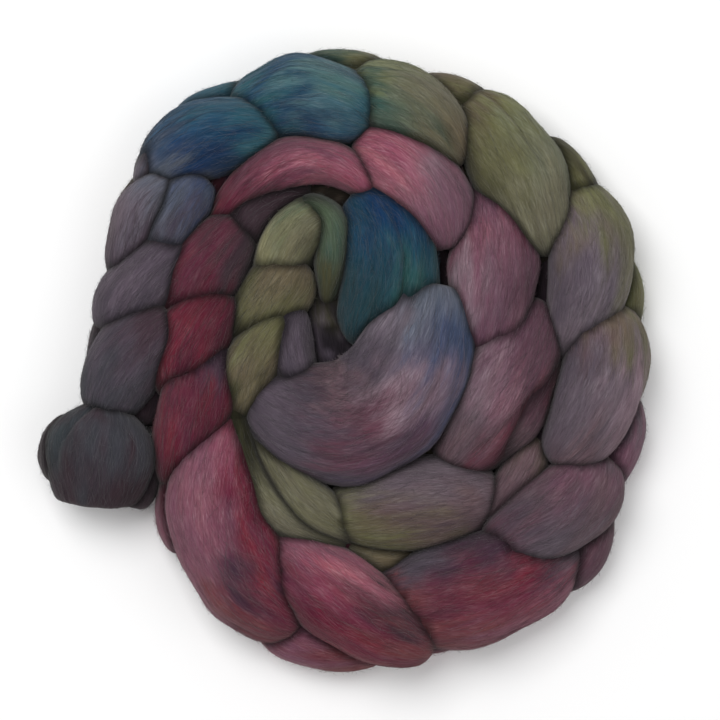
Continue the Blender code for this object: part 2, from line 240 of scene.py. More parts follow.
secondTurn = {
    "second_1": dict(
        tail=(-73, -14, 12), belly=(-66, 8, 21), head=(-51, 31, 23),
        width=33, height=38, shape="puff",
        dyes=((0.2, 0, "darkRed"), (0.6, -0.4, "crimson"), (0.9, 0.3, "darkRed")),
    ),
    "second_2": dict(
        tail=(-72, 17, 12), belly=(-61, 38, 21), head=(-44, 59, 22),
        width=35, height=38, shape="puff",
        dyes=((0.2, 0, "darkRed"), (0.6, -0.2, "maroon"), (0.8, 0.7, "purpleBrown")),
    ),
    "second_3": dict(
        tail=(-48, 44, 15), belly=(-37, 65, 18), head=(-14, 74, 16),
        width=25, height=34, shape="puff",
        dyes=((0.2, 0, "purpleBrown"), (0.6, 0, "purpleBrown"), (0.9, 0, "maroonBlack")),
    ),
    "second_4": dict(
        tail=(-62, 50, 17), belly=(-22, 86, 23), head=(14, 70, 21),
        width=22, height=38, shape="spear",
        dyes=((0.06, 0, "darkRed"), (0.2, -0.2, "crimson"), (0.3, 0.8, "purpleBrown"),
              (0.4, 0, "maroon"), (0.52, -0.5, "mauveBrown"), (0.56, 0.3, "rose"),
              (0.7, -0.2, "roseMauve"), (0.8, 0.4, "pink"), (0.95, 0, "rose")),
        creases=((0.3, 0.85, 0.25, 0.1, 1.3, 1.2),),
    ),
    "second_5": dict(
        tail=(5, 94, 15), belly=(31, 78, 24), head=(44, 48, 22),
        width=38, height=39, shape="puff",
        dyes=((0.1, 0, "rose"), (0.35, 0.1, "pink"), (0.45, -0.7, "roseMauve"), (0.55, 0.6, "pink"),
              (0.68, -0.2, "paleMauve"), (0.8, 0.5, "roseMauve"), (0.82, -0.6, "mauve"),
              (0.95, 0.2, "mauve")),
        creases=((0.2, 0.9, 0.25, 0.3, 1.3, 1.3), (0.35, 0.95, -0.3, -0.2, 1.1, 0.9)),
    ),
    "second_6": dict(
        tail=(59, 75, 13), belly=(64, 40, 23), head=(58, 2, 21),
        width=39, height=39, shape="puff",
        dyes=((0.12, 0, "mauve"), (0.3, -0.7, "maroon"), (0.4, 0.3, "roseMauve"), (0.55, -0.3, "mauve"),
              (0.65, 0.6, "paleMauve"), (0.75, -0.7, "mauveBrown"), (0.9, 0.2, "mauve")),
        creases=((0.15, 0.9, 0.2, 0.3, 1.3, 1.3), (0.3, 0.9, -0.4, -0.3, 1.2, 1)),
    ),
    "second_7a": dict(
        tail=(81, 25, 14), belly=(68, -9, 23), head=(44, -46, 21),
        width=40, height=38, shape="puff",
        dyes=((0.1, 0, "mauveBrown"), (0.3, 0.4, "mauve"), (0.4, -0.6, "mauveBrown"),
              (0.55, 0.5, "paleMauve"), (0.65, -0.3, "roseMauve"), (0.75, 0.1, "mauveGrey"),
              (0.8, -0.7, "maroon"), (0.95, 0.3, "brownMauve")),
        creases=((0.25, 0.85, 0.15, 0.25, 1.2, 1.1), (0.45, 0.98, -0.75, -0.25, 1.5, 1.9)),
    ),
    "second_7b": dict(
        tail=(85, 14, 15), belly=(78, -21, 19), head=(49, -46, 17),
        width=21, height=34, shape="puff",
        dyes=((0.2, 0, "maroon"), (0.5, 0, "mauveBrown"), (0.9, 0, "brownMauve")),
    ),
    "second_8": dict(
        tail=(83, -31, 13), belly=(74, -52, 17), head=(60, -70, 14),
        width=23, height=31, shape="puff",
        dyes=((0.2, 0, "brownOlive"), (0.45, 0.2, "brownMauve"), (0.85, 0, "brownMauve")),
    ),
    "second_9": dict(
        tail=(64.5, -56, 15), belly=(30, -61, 23), head=(-6, -65, 19),
        width=40, height=39, shape="puff",
        dyes=((0.08, 0, "brownMauve"), (0.25, 0.4, "mauveGrey"), (0.3, -0.4, "brownMauve"),
              (0.5, 0.6, "mauveGrey"), (0.5, -0.1, "brownMauve"), (0.55, -0.7, "brownOlive"),
              (0.72, 0.5, "mauveGrey"), (0.78, -0.2, "brownOlive"), (0.8, -0.8, "olive"),
              (0.92, 0.4, "greyOlive"), (0.95, -0.4, "olive")),
        creases=((0.12, 0.88, 0.1, 0.15, 1.3, 1.3), (0.25, 0.9, -0.4, -0.3, 1.2, 1)),
    ),
    "second_10": dict(
        tail=(-2, -78, 13), belly=(13, -84.5, 15), head=(31, -82, 13),
        width=18, height=28, shape="puff",
        dyes=((0.3, 0, "greyOlive"), (0.8, 0, "brownOlive")),
    ),
    "second_11a": dict(
        tail=(-46, -20, 16), belly=(-34, -59, 21), head=(0, -79, 17),
        width=18, height=35, shape="strand",
        dyes=((0.1, 0, "darkOlive"), (0.3, 0, "olive"), (0.55, 0, "greyOlive"), (0.9, 0, "greyOlive")),
    ),
    "second_11b": dict(
        tail=(-37, -26, 15), belly=(-19, -56, 22), head=(7, -75, 17),
        width=21, height=36, shape="puff",
        dyes=((0.12, 0, "darkOlive"), (0.35, 0, "greyOlive"), (0.65, -0.3, "greyOlive"),
              (0.7, 0.4, "olive"), (0.95, 0, "greyOlive")),
        creases=((0.2, 0.85, -0.1, -0.1, 1.1, 1.2),),
    ),
    "second_12": dict(
        tail=(-48, -4, 14), belly=(-46, -23, 16), head=(-40, -42, 15),
        width=15, height=30, shape="puff",
        dyes=((0.5, 0, "darkOlive"),),
    ),
}
thirdTurn = {
    "third_1": dict(
        tail=(-46, -27, 12), belly=(-38, -2, 21), head=(-24, 19, 22),
        width=28, height=37, shape="puff",
        dyes=((0.2, 0, "darkOlive"), (0.6, 0, "brownOlive"), (0.9, 0, "olive")),
    ),
    "third_2": dict(
        tail=(-44, 6, 12), belly=(-31, 27, 20), head=(-20, 44, 20),
        width=32, height=37, shape="puff",
        dyes=((0.2, 0, "darkOlive"), (0.6, 0, "olive"), (0.9, 0, "brownOlive")),
    ),
    "third_3a": dict(
        tail=(-32, 30, 14), belly=(-21, 53, 21), head=(-8, 63.5, 19),
        width=29, height=38, shape="puff",
        dyes=((0.1, 0, "darkOlive"), (0.32, -0.6, "paleOlive"), (0.35, 0.7, "darkOlive"),
              (0.58, -0.55, "paleOlive"), (0.6, 0.15, "greyOlive"), (0.72, 0.8, "olive"),
              (0.82, -0.3, "greyGreen"), (0.97, 0, "moss")),
        creases=((0.2, 0.85, -0.1, -0.2, 1.2, 0.9),),
    ),
    "third_3b": dict(
        tail=(-20, 66, 17), belly=(-6, 56, 20), head=(-8, 22, 14),
        width=18, height=37, shape="puff",
        dyes=((0.1, 0, "darkGreen"), (0.35, 0, "moss"), (0.6, 0, "darkGreen"), (0.95, 0, "darkOlive")),
    ),
    "third_4": dict(
        tail=(7, 72, 15), belly=(20, 43, 23), head=(8, 5, 18),
        width=44, height=39, shape="blunt",
        dyes=((0.06, 0.4, "petrol"), (0.18, -0.1, "deepBlue"), (0.22, 0.7, "petrol"),
              (0.33, 0, "deepBlue"), (0.38, -0.8, "petrol"), (0.42, 0.6, "petrol"),
              (0.5, -0.75, "petrol"), (0.58, 0.1, "petrol"), (0.64, -0.5, "greenTeal"),
              (0.7, 0.5, "inkTeal"), (0.9, 0.1, "inkTeal")),
        creases=((0.2, 0.95, -0.18, -0.42, 1.5, 3.6), (0.3, 0.85, 0.4, 0.3, 1.2, 1.6)),
    ),
    "third_5": dict(
        tail=(-38, -13, 22), belly=(12, -22.5, 30), head=(39, 32, 27),
        width=56, height=42, shape="fist",
        dyes=((0.08, 0, "plumGrey"), (0.16, 0.1, "purpleGrey"), (0.28, -0.5, "plumBlack"),
              (0.3, 0.25, "plumGrey"), (0.4, 0.8, "plumGrey"), (0.41, -0.5, "brownMauve"),
              (0.42, 0.2, "mauveBrown"), (0.5, 0.38, "maroon"), (0.52, 0.8, "mauveBrown"),
              (0.58, 0.92, "deepNavy"), (0.58, -0.5, "plumGrey"), (0.61, 0, "paleMauve"),
              (0.65, 0.58, "paleMauve"), (0.74, -0.45, "plumGrey"), (0.76, 0.88, "slateBlue"),
              (0.82, 0.2, "slateBlue"), (0.86, -0.35, "lavender"), (0.88, 0.6, "slateBlue"),
              (0.98, 0, "slateGrey")),
        creases=((0.06, 0.6, -0.2, 0.05, 1.9, 3), (0.35, 0.92, -0.3, -0.5, 1.6, 2),
                 (0.42, 0.97, 0.52, 0.45, 1.5, 2.2), (0.15, 0.7, 0.58, 0.65, 1.4, 1.8)),
    ),
    "third_6": dict(
        tail=(-14, -18, 18), belly=(-23, 2, 23), head=(-21, 22, 18),
        width=23, height=32, shape="puff",
        dyes=((0.2, 0, "plumGrey"), (0.6, 0, "purpleGrey"), (0.9, 0, "plumGrey")),
    ),
}

# the chain's small back legs, which show along the rim, and those underneath: tail, belly, head, width and
# dyes, with the height and the level of the middle line for all of a row
backRow = {
    "height": 27,
    "level": 12.5,
    "legs": {
        "back_1": ((-106, -12), (-98, 13), (-93, 34), 22, ("charcoal", "plumBlack")),
        "back_2": ((-94, 56), (-85, 71), (-72, 84), 22, ("darkBrown", "brownOlive")),
        "back_3": ((-72, 99), (-53, 109.5), (-31, 110), 23, ("tealBlue", "teal")),
        "back_4": ((-24, 119), (-1, 124.5), (24, 118), 24, ("greenTeal", "olive")),
        "back_5": ((27, 117), (50, 112), (70, 97), 22, ("brownOlive", "olive")),
        "back_6": ((84, 95), (97, 79), (107, 58), 22, ("darkOlive", "olive")),
        "back_7": ((116, 46), (117.3, 27), (114, 6), 25, ("grassOlive", "olive")),
        "back_8": ((118, -10), (118, -33), (109.5, -55), 24, ("mauveGrey", "mauve")),
        "back_9": ((108, -56), (103, -78), (90, -96), 24, ("brownMauve", "mauveBrown")),
        "back_10": ((68, -105), (45, -113), (22, -117), 22, ("redBrown", "rose")),
        "back_11": ((-34, -107), (-14, -118), (18, -122.5), 28, ("roseMauve", "redBrown")),
        "back_12": ((-33, -101), (-52, -90.5), (-68, -70), 25, ("redBrown", "maroon")),
        "back_13": ((-69, -82), (-73, -63), (-71, -42), 18, ("roseMauve", "maroon")),
        "back_14": ((-84, -32), (-87, -47), (-91, -63), 17, ("maroonBlack", "plumBlack")),
    },
}
underside = {
    "height": 27,
    "level": 12,
    "legs": {
        "under_1": ((-64, 62), (-42, 85), (-12, 97), 28, ("maroon", "deepBlue")),
        "under_2": ((-18, 96), (16, 100), (52, 86), 28, ("greenTeal", "darkGreen")),
        "under_3": ((42, 93), (72, 70), (89, 36), 28, ("darkOlive", "darkBrown")),
        "under_4": ((88, 50), (90, 20), (89, -14), 28, ("purpleBrown", "darkPurple")),
        "under_5": ((90, 0), (86, -34), (68, -68), 28, ("darkPurple", "purpleBrown")),
        "under_6": ((80, -52), (56, -78), (18, -86), 28, ("darkPurple", "maroon")),
        "under_7": ((34, -84), (0, -81), (-34, -70), 28, ("crimson", "maroon")),
        "under_8": ((-24, -78), (-43, -46), (-47, -12), 28, ("darkOlive", "darkRed")),
        "under_9": ((-42, 42), (-20, 67), (8, 72), 26, ("maroonBlack", "darkBrown")),
        "under_10": ((0, 72), (28, 62), (43, 34), 26, ("darkBrown", "purpleBrown")),
        "under_11": ((40, 46), (53, 18), (52, -16), 26, ("purpleBrown", "darkPurple")),
        "under_12": ((53, -2), (40, -36), (6, -54), 26, ("purpleGrey", "brownOlive")),
        "under_13": ((18, -52), (-20, -50), (-43, -16), 28, ("darkOlive", "brownOlive")),
        "under_14": ((-10, 44), (-5, 14), (-2, -10), 24, ("darkOlive", "plumGrey")),
        "under_15": ((-28, -28), (4, -26), (30, -8), 40, ("plumGrey", "purpleGrey")),
        "under_16": ((-88, -28), (-84, 8), (-73, 46), 28, ("plumBlack", "darkRed")),
        "under_17": ((-47, -22), (-50, 12), (-43, 48), 28, ("darkOlive", "darkRed")),
    },
}

legForm = {
    "sides": 88,
    "rings": 40,
    "backSides": 56,
    "backRings": 30,
    "underSides": 36,
    "underRings": 22,
    "sectionPower": 0.94,  # below 1 the section is a little fuller than round
    "lump": 1.0,  # mm
    "lumpSize": 34,  # mm
    "fullReach": 18,  # mm from middle line to skin; a thinner leg has finer lumps and grooves
    "grooves": ((2, 0.7), (3, 0.9), (5, 0.7), (8, 0.5), (13, 0.28), (21, 0.14)),  # how many around, mm deep
    "grooveDrift": 0.5,  # radians that a groove wanders around the leg
    "slowDrift": (2, 5),  # radians of the drift's waves from tail to head
    "quickDrift": (9, 16),
    "comeAndGo": (-5, 5),  # the same for the waves in which grooves come and go
    "ridgePower": 0.75,
    "ridgeLevel": 0.72,  # the part of a ridge that lies below the plain surface
    "creaseEnds": 0.6,  # lower values keep a crease deep for longer
    "tipCalm": 0.5,  # lower values carry the lumps and grooves closer to the tips
    "restLevel": 0.0,  # mm, where the braid lies pressed flat
}


def softPower(values, power):
    return np.sign(values) * np.abs(values) ** power


def middleLine(leg, t):
    # place, forward, across and upward at t on the leg's middle line
    start, middle, end = (np.array(leg[key], float) for key in ("tail", "belly", "head"))
    pull = 2 * middle - 0.5 * (start + end)
    t = np.asarray(t, float)[..., None]
    place = (1 - t) ** 2 * start + 2 * t * (1 - t) * pull + t**2 * end
    forward = (1 - t) * (pull - start) + t * (end - pull)
    forward /= np.linalg.norm(forward, axis=-1, keepdims=True)
    across = np.cross(forward, (0.0, 0.0, 1.0))
    across /= np.linalg.norm(across, axis=-1, keepdims=True)
    return place + tableShift, forward, across, np.cross(across, forward)


def runFrom(places):
    # the distance in mm along a line of places, from its start
    return np.concatenate(([0], np.cumsum(np.linalg.norm(np.diff(places, axis=0), axis=1))))


def legLength(leg):
    return runFrom(middleLine(leg, np.linspace(0, 1, 21))[0])[-1]


def legReach(leg):
    return (leg["width"] + leg["height"]) / 4


slowWaves = {
    "count": 7,
    "pace": (0.5, 1.4),  # waves to each length of the noise's size
}


def slowNoise(points, size, rng):
    # smooth noise around 0 with lumps of about that size
    total = np.zeros(points.shape[:-1])
    for _ in range(slowWaves["count"]):
        direction = rng.normal(size=points.shape[-1])
        direction *= rng.uniform(*slowWaves["pace"]) / np.linalg.norm(direction)
        total += np.sin(points @ direction * 2 * math.pi / size + rng.uniform(0, 2 * math.pi))
    return total / math.sqrt(slowWaves["count"])


def creaseDepth(leg, t, angle, reach):
    # how far the named creases pull the surface in
    total = np.zeros(np.broadcast(t, angle).shape)
    for begin, finish, sideA, sideB, width, depth in leg.get("creases", ()):
        along = np.clip((t - begin) / (finish - begin), 0, 1)
        line = np.arccos(sideA + (sideB - sideA) * along)
        away = (angle - line) * reach
        fade = np.sin(math.pi * along) ** legForm["creaseEnds"]
        total += depth * fade * np.exp(-((away / width) ** 2))
    return total


def drift(t, waves, rng):
    return np.sin(t * rng.uniform(*waves) + rng.uniform(0, 6))


def grooveRise(t, angle, size, rng):
    # ridges and grooves that run along the leg, drift around it and come and go
    form, total = legForm, 0.0
    for count, depth in form["grooves"]:
        wander = form["grooveDrift"] * drift(t, form["slowDrift"], rng)
        wander = wander + 0.5 / count * drift(t, form["quickDrift"], rng)
        ridge = np.abs(np.cos((angle + wander) * count / 2 + rng.uniform(0, 6))) ** form["ridgePower"]
        swirl = angle * rng.integers(1, 3) + t * rng.uniform(*form["comeAndGo"]) + rng.uniform(0, 6)
        total = total + size * depth * (0.5 + 0.5 * np.sin(swirl)) * (ridge - form["ridgeLevel"])
    return total


def legSurface(leg, rng, sides, rings):
    # grid of points in mm, one row for each ring, and the grid's outward normals
    turn = np.linspace(0, math.pi, rings + 1)[:, None]
    angle = (np.arange(sides) * 2 * math.pi / sides)[None, :]
    t = (1 - np.cos(turn)) / 2
    place, forward, across, upward = middleLine(leg, t[:, 0])
    tailPower, headPower = shapes[leg["shape"]]
    swell = np.sin(turn) ** (tailPower + (headPower - tailPower) * t)
    sideways = softPower(np.cos(angle), legForm["sectionPower"]) * leg["width"] / 2
    rise = softPower(np.sin(angle), legForm["sectionPower"]) * leg["height"] / 2
    points = place[:, None] + swell[..., None] * (
        sideways[..., None] * across[:, None] + rise[..., None] * upward[:, None]
    )
    around = np.roll(points, -1, axis=1) - np.roll(points, 1, axis=1)
    normals = np.cross(np.gradient(points, axis=0), around)
    normals /= np.maximum(np.linalg.norm(normals, axis=-1, keepdims=True), 1e-9)
    normals[0], normals[-1] = -forward[0], forward[-1]
    reach = legReach(leg)
    size = min(1.0, reach / legForm["fullReach"])
    push = size * legForm["lump"] * slowNoise(points, legForm["lumpSize"], rng)
    push = push + grooveRise(t, angle, size, rng) - creaseDepth(leg, t, angle, reach)
    points = points + normals * (push * np.sin(turn) ** legForm["tipCalm"])[..., None]
    points[..., 2] = np.maximum(points[..., 2], legForm["restLevel"])
    return points, normals


def sidesOf(rings, sides):
    # the quads of a grid that closes around its sides, seen from outside, as (ring, side) corners
    for ring in range(rings):
        for side in range(sides):
            yield (ring, side), (ring + 1, side), (ring + 1, side + 1), (ring, side + 1)


def legTree(points):
    rings, sides = points.shape[0] - 1, points.shape[1]
    faces = [[ring * sides + side % sides for ring, side in quad] for quad in sidesOf(rings, sides)]
    return BVHTree.FromPolygons(points.reshape(-1, 3).tolist(), faces)


# painted shade: wool close to a neighbouring leg is darkened in its colour, as in the shade of the valley
# between them
valley = {
    "width": 7.5,  # mm from the neighbour
    "deepest": 0.22,  # how much of the wool's colour is left where they touch
    "lean": 0.7,  # the lower of two legs takes more of the shade
    "touch": 0.01,  # mm
}


def clearance(made, others):
    # how far the leg's surface lies from the other legs, in mm, and below zero inside one of them
    flat = made["points"][::2, ::2].reshape(-1, 3)
    widest = 2 * valley["width"]
    least = np.full(len(flat), widest)
    for other in others:
        corner = other["points"].reshape(-1, 3)
        near = ((flat > corner.min(axis=0) - widest) & (flat < corner.max(axis=0) + widest)).all(axis=1)
        for index in np.nonzero(near)[0]:
            hit, normal, _, gap = other["tree"].find_nearest(flat[index])
            if (Vector(flat[index]) - hit).dot(normal) < 0:
                gap = -gap
            elif gap > valley["touch"]:
                # painted shade: a gap to a neighbour that lies lower counts as wider, so the lower leg is
                # painted darker
                gap *= 1 + valley["lean"] - valley["lean"] * (hit.z - flat[index][2]) / gap
            least[index] = min(least[index], gap)
    coarse = least.reshape(made["points"][::2, ::2].shape[:2])
    fine = np.empty(made["points"].shape[:2])
    fine[::2, ::2] = coarse
    fine[::2, 1::2] = (coarse + np.roll(coarse, -1, axis=1)) / 2
    fine[1::2] = (fine[:-1:2] + fine[2::2]) / 2
    return fine


def valleyShade(clear):
    # painted shade: the share of the wool's colour kept at that clearance, least where legs touch
    share = np.clip(clear / valley["width"], 0, 1)
    return valley["deepest"] + (1 - valley["deepest"]) * share * share * (3 - 2 * share)


dyeing = {
    "depth": 0.66,  # wool in the hank looks darker than one fibre of it
    "spread": 8.0,  # mm over which one dye runs into the next
    "edge": 1.3,  # higher values part the dyes more sharply
    "strayAlong": (8.0, 13),  # mm that a dye's edge strays, and over how many mm
    "strayBeside": (4.0, 10),
    "drawnOut": 0.4,  # patches lie along the fibres
    "farLead": 13.0,  # mm by which the second blend of dyes lies further on
}


def linearColour(name):
    seen = np.array(dyes[name], float) / 255
    light = np.where(seen <= 0.04045, seen / 12.92, ((seen + 0.055) / 1.055) ** 2.4)  # the sRGB curve
    return light * dyeing["depth"]


def stray(places, amount, rng):
    reach, size = amount
    return reach * slowNoise(places, size, rng)


def legDyes(leg, points, rng):
    # two blends of the leg's dyes for each point, the second taken a little further on
    place, _, across, _ = middleLine(leg, np.linspace(0, 1, 121))
    run = runFrom(place)
    flat = points.reshape(-1, 3)
    near = np.argmin(np.linalg.norm(flat[:, None, :2] - place[None, :, :2], axis=-1), axis=1)
    beside = np.sum((flat - place[near]) * across[near], axis=1)
    drawnOut = np.stack((run[near] * dyeing["drawnOut"], beside, flat[:, 2]), axis=1)
    blends = []
    for lead in (0.0, dyeing["farLead"]):
        strayAlong = stray(drawnOut, dyeing["strayAlong"], rng)
        strayBeside = stray(drawnOut, dyeing["strayBeside"], rng)
        weights, colours = [], []
        for stop, side, name in leg["dyes"]:
            gapAlong = run[near] + strayAlong + lead - stop * run[-1]
            gapBeside = beside + strayBeside - side * leg["width"] / 2
            weights.append(np.exp(-(gapAlong**2 + gapBeside**2) / (2 * dyeing["spread"] ** 2)) + 1e-6)
            colours.append(linearColour(name))
        weights = np.array(weights) ** dyeing["edge"]
        weights /= weights.sum(axis=0)
        blends.append((weights.T @ np.array(colours)).reshape(points.shape))
    return blends


def paint(mesh, name, colours):
    layer = mesh.attributes.new(name, "FLOAT_COLOR", "POINT")
    values = np.ones((len(mesh.vertices), 4), np.float32)
    values[:, :3] = colours
    layer.data.foreach_set("color", values.ravel())


def addMap(mesh, name, places):
    layer = mesh.uv_layers.new(name=name)
    layer.data.foreach_set("uv", places.astype(np.float32).ravel())


def closedTube(rings, sides, tips):
    # faces of a tube whose rings are numbered from 0 and whose two ends are fans around the tips, and for
    # each of their corners its (ring, side) on the unrolled tube, with the tail's tip as ring 0
    faces, corners = [], []
    for quad in sidesOf(rings - 1, sides):
        faces.append([ring * sides + side % sides for ring, side in quad])
        corners += [(ring + 1, side) for ring, side in quad]
    last = (rings - 1) * sides
    for side in range(sides):
        after = (side + 1) % sides
        faces.append([tips[0], side, after])
        corners += [(0, side + 0.5), (1, side), (1, side + 1)]
        faces.append([tips[1], last + after, last + side])
        corners += [(rings + 1, side + 0.5), (rings, side + 1), (rings, side)]
    return faces, np.array(corners, float)


def addPiece(name, mesh, finish):
    mesh.shade_smooth()
    mesh.materials.append(finish)
    piece = bpy.data.objects.new(name, mesh)
    bpy.context.scene.collection.objects.link(piece)
    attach(piece, "root")
    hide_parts("roving")


mapping = {
    "legMargin": 0.01,
    "fibreMargin": 0.12,
    "apart": (0, 9),  # metres between the legs on the fibre map, so that no two share their streaks
}


def legPiece(made, finish):
    leg, points, rng = made["leg"], made["points"], made["rng"]
    rings, sides = points.shape[0] - 1, points.shape[1]
    verts = np.concatenate((points[1:-1].reshape(-1, 3), points[:1, 0], points[-1:, 0])) * mm
    faces, corners = closedTube(rings - 1, sides, (len(verts) - 2, len(verts) - 1))
    mesh = bpy.data.meshes.new("leg_" + made["name"])
    mesh.from_pydata(verts.tolist(), [], faces)
    girth = math.pi * (leg["width"] + leg["height"]) / 2
    t = (1 - np.cos(math.pi * corners[:, 0] / rings)) / 2
    fibre = np.column_stack((t * legLength(leg), corners[:, 1] / sides * girth)) * mm
    addMap(mesh, "fibre", fibre + rng.uniform(*mapping["apart"], 2))
    margin = mapping["legMargin"]
    addMap(mesh, "OFBake", corners / (rings, sides) * (1 - 2 * margin) + margin)
    mesh.uv_layers["fibre"].active_render = True
    for layer, blend in zip(("dyeNearPaintedShade", "dyeFarPaintedShade"), made["blends"]):
        # painted shade: both blends of dye are darkened near neighbouring legs, in the valleys between them
        blend = blend * valleyShade(made["clear"])[..., None]
        paint(mesh, layer, np.concatenate((blend[1:-1].reshape(-1, 3), blend[0, :1], blend[-1, :1])))
    addPiece("leg_" + made["name"], mesh, finish)


# combed wool: short streaks that cross each other at small angles, over two blends of dye that carry
# painted valley shade
woolFinish = {
    "hairs": ((-0.2, 2900.0), (0.04, 2300.0), (0.19, 3200.0)),  # slant, streaks per metre across the leg
    "hairRun": 125.0,  # streaks per metre along the leg
    "locks": ((-0.08, 420.0), (0.13, 330.0)),
    "lockRun": 42.0,
    "patch": (26.0, 120.0),  # along and across, per metre
    "sway": (70.0, 110.0),  # the same for the wander of the fibres
    "wobble": 0.0016,  # metres that a fibre wanders sideways
    "palePart": (0.56, 0.74),  # values of the hairs' noise between which they turn pale
    "darkPart": (0.26, 0.44),  # and up to which they stay dark
    # partly painted sheen: the palest hairs are lightened for the glint of single fibres, and partly for
    # fibres that took less dye
    "paleHairAndSheen": 1.48,
    "paleDye": 0.72,  # the palest fibres took less dye
    "darkHair": 0.72,
    "lockShade": (0.35, 0.65, 0.91, 1.08),  # noise from, to, shade from, to
    "patchShade": (0.3, 0.7, 0.85, 1.14),
    "patchHue": (0.25, 0.75, 0.488, 0.512),
    "lockBlend": 0.35,  # the share of the locks in where one blend of dyes gives way to the other
    "blendPart": (0.5, 0.85),
    "roughness": 0.92,
    "specular": 0.1,
    "sheen": 0.1,
    "sheenRoughness": 0.5,
    "sheenTint": (1.0, 0.96, 0.94, 1.0),
    "hairBump": 0.00012,  # metres
    "lockBump": 0.0008,
}


def addNode(tree, kind, inputs=None, **settings):
    node = tree.nodes.new(kind)
    for key, value in settings.items():
        setattr(node, key, value)
    for key, value in (inputs or {}).items():
        if isinstance(value, bpy.types.NodeSocket):
            tree.links.new(value, node.inputs[key])
        else:
            node.inputs[key].default_value = value
    return node


def maths(tree, operation, a, b):
    return addNode(tree, "ShaderNodeMath", {0: a, 1: b}, operation=operation).outputs[0]


def ramp(tree, value, low, high, outLow, outHigh):
    ends = {"From Min": low, "From Max": high, "To Min": outLow, "To Max": outHigh}
    return addNode(tree, "ShaderNodeMapRange", {"Value": value, **ends}).outputs[0]


def streaks(tree, along, across, slant, run, count, detail=3.0):
    # noise drawn out along the leg, or at a small slant to it
    slanted = maths(tree, "ADD", across, maths(tree, "MULTIPLY", along, slant))
    ends = {"X": maths(tree, "MULTIPLY", along, run), "Y": maths(tree, "MULTIPLY", slanted, count)}
    place = addNode(tree, "ShaderNodeCombineXYZ", ends).outputs[0]
    inputs = {"Vector": place, "Scale": 1.0, "Detail": detail, "Roughness": 0.6}
    return addNode(tree, "ShaderNodeTexNoise", inputs, noise_dimensions="2D").outputs["Fac"]


def plainMaterial(name, values):
    # the material, its nodes and its shader, with the shader's fixed values set
    material = bpy.data.materials.new(name)
    material.use_nodes = True
    shader = material.node_tree.nodes["Principled BSDF"]
    for key, value in values.items():
        shader.inputs[key].default_value = value
    return material, material.node_tree, shader


def woolColourWithPaintedShade(tree, along, across, palest, darkest, lock):
    # the two blends of dye with their painted valley shade, mixed, then shaded by the hairs, the locks and
    # the patches, the palest hairs partly as painted sheen
    finish = woolFinish
    patch = streaks(tree, along, across, 0.0, *finish["patch"], 4.0)
    blend = addNode(tree, "ShaderNodeMix", data_type="RGBA", clamp_factor=True)
    mixed = maths(tree, "ADD", maths(tree, "MULTIPLY", lock, finish["lockBlend"]), patch)
    tree.links.new(ramp(tree, mixed, *finish["blendPart"], 0.0, 1.0), blend.inputs["Factor"])
    for name, socket in (("dyeNearPaintedShade", "A"), ("dyeFarPaintedShade", "B")):
        # each attribute holds dye with painted valley shade
        dyed = addNode(tree, "ShaderNodeAttribute", attribute_name=name).outputs["Color"]
        tree.links.new(dyed, blend.inputs[socket])
    # partly painted sheen: the palest hairs come out lighter
    paleShade = ramp(tree, palest, *finish["palePart"], 1.0, finish["paleHairAndSheen"])
    darkShade = ramp(tree, darkest, *finish["darkPart"], finish["darkHair"], 1.0)
    shade = maths(tree, "MULTIPLY", paleShade, darkShade)
    shade = maths(tree, "MULTIPLY", shade, ramp(tree, lock, *finish["lockShade"]))
    shade = maths(tree, "MULTIPLY", shade, ramp(tree, patch, *finish["patchShade"]))
    tint = addNode(tree, "ShaderNodeHueSaturation", {
        "Color": blend.outputs["Result"],
        "Saturation": ramp(tree, palest, *finish["palePart"], 1.0, finish["paleDye"]),
        "Hue": ramp(tree, patch, *finish["patchHue"]),
        "Value": shade,
    })
    return tint.outputs[0]


def combedWool():
    finish = woolFinish
    material, tree, shader = plainMaterial("combedWool", {
        "Roughness": finish["roughness"],
        "Specular IOR Level": finish["specular"],
        "Sheen Weight": finish["sheen"],
        "Sheen Roughness": finish["sheenRoughness"],
        "Sheen Tint": finish["sheenTint"],
    })
    unrolled = addNode(tree, "ShaderNodeUVMap", uv_map="fibre").outputs[0]
    split = addNode(tree, "ShaderNodeSeparateXYZ", {0: unrolled})
    along, across = split.outputs["X"], split.outputs["Y"]
    sway = streaks(tree, along, across, 0.0, *finish["sway"], 2.0)
    across = maths(tree, "ADD", across, maths(tree, "MULTIPLY", sway, finish["wobble"]))
    hairs = [
        streaks(tree, along, across, slant, finish["hairRun"], count) for slant, count in finish["hairs"]
    ]
    locks = [
        streaks(tree, along, across, slant, finish["lockRun"], count) for slant, count in finish["locks"]
    ]
    palest = maths(tree, "MAXIMUM", maths(tree, "MAXIMUM", hairs[0], hairs[1]), hairs[2])
    darkest = maths(tree, "MINIMUM", maths(tree, "MINIMUM", hairs[0], hairs[1]), hairs[2])
    lock = maths(tree, "MULTIPLY", maths(tree, "ADD", locks[0], locks[1]), 0.5)
    colour = woolColourWithPaintedShade(tree, along, across, palest, darkest, lock)
    tree.links.new(colour, shader.inputs["Base Color"])
    lockBump = addNode(tree, "ShaderNodeBump", {"Height": lock, "Distance": finish["lockBump"]}).outputs[0]
    hairBump = {"Height": palest, "Distance": finish["hairBump"], "Normal": lockBump}
    tree.links.new(addNode(tree, "ShaderNodeBump", hairBump).outputs[0], shader.inputs["Normal"])
    return material


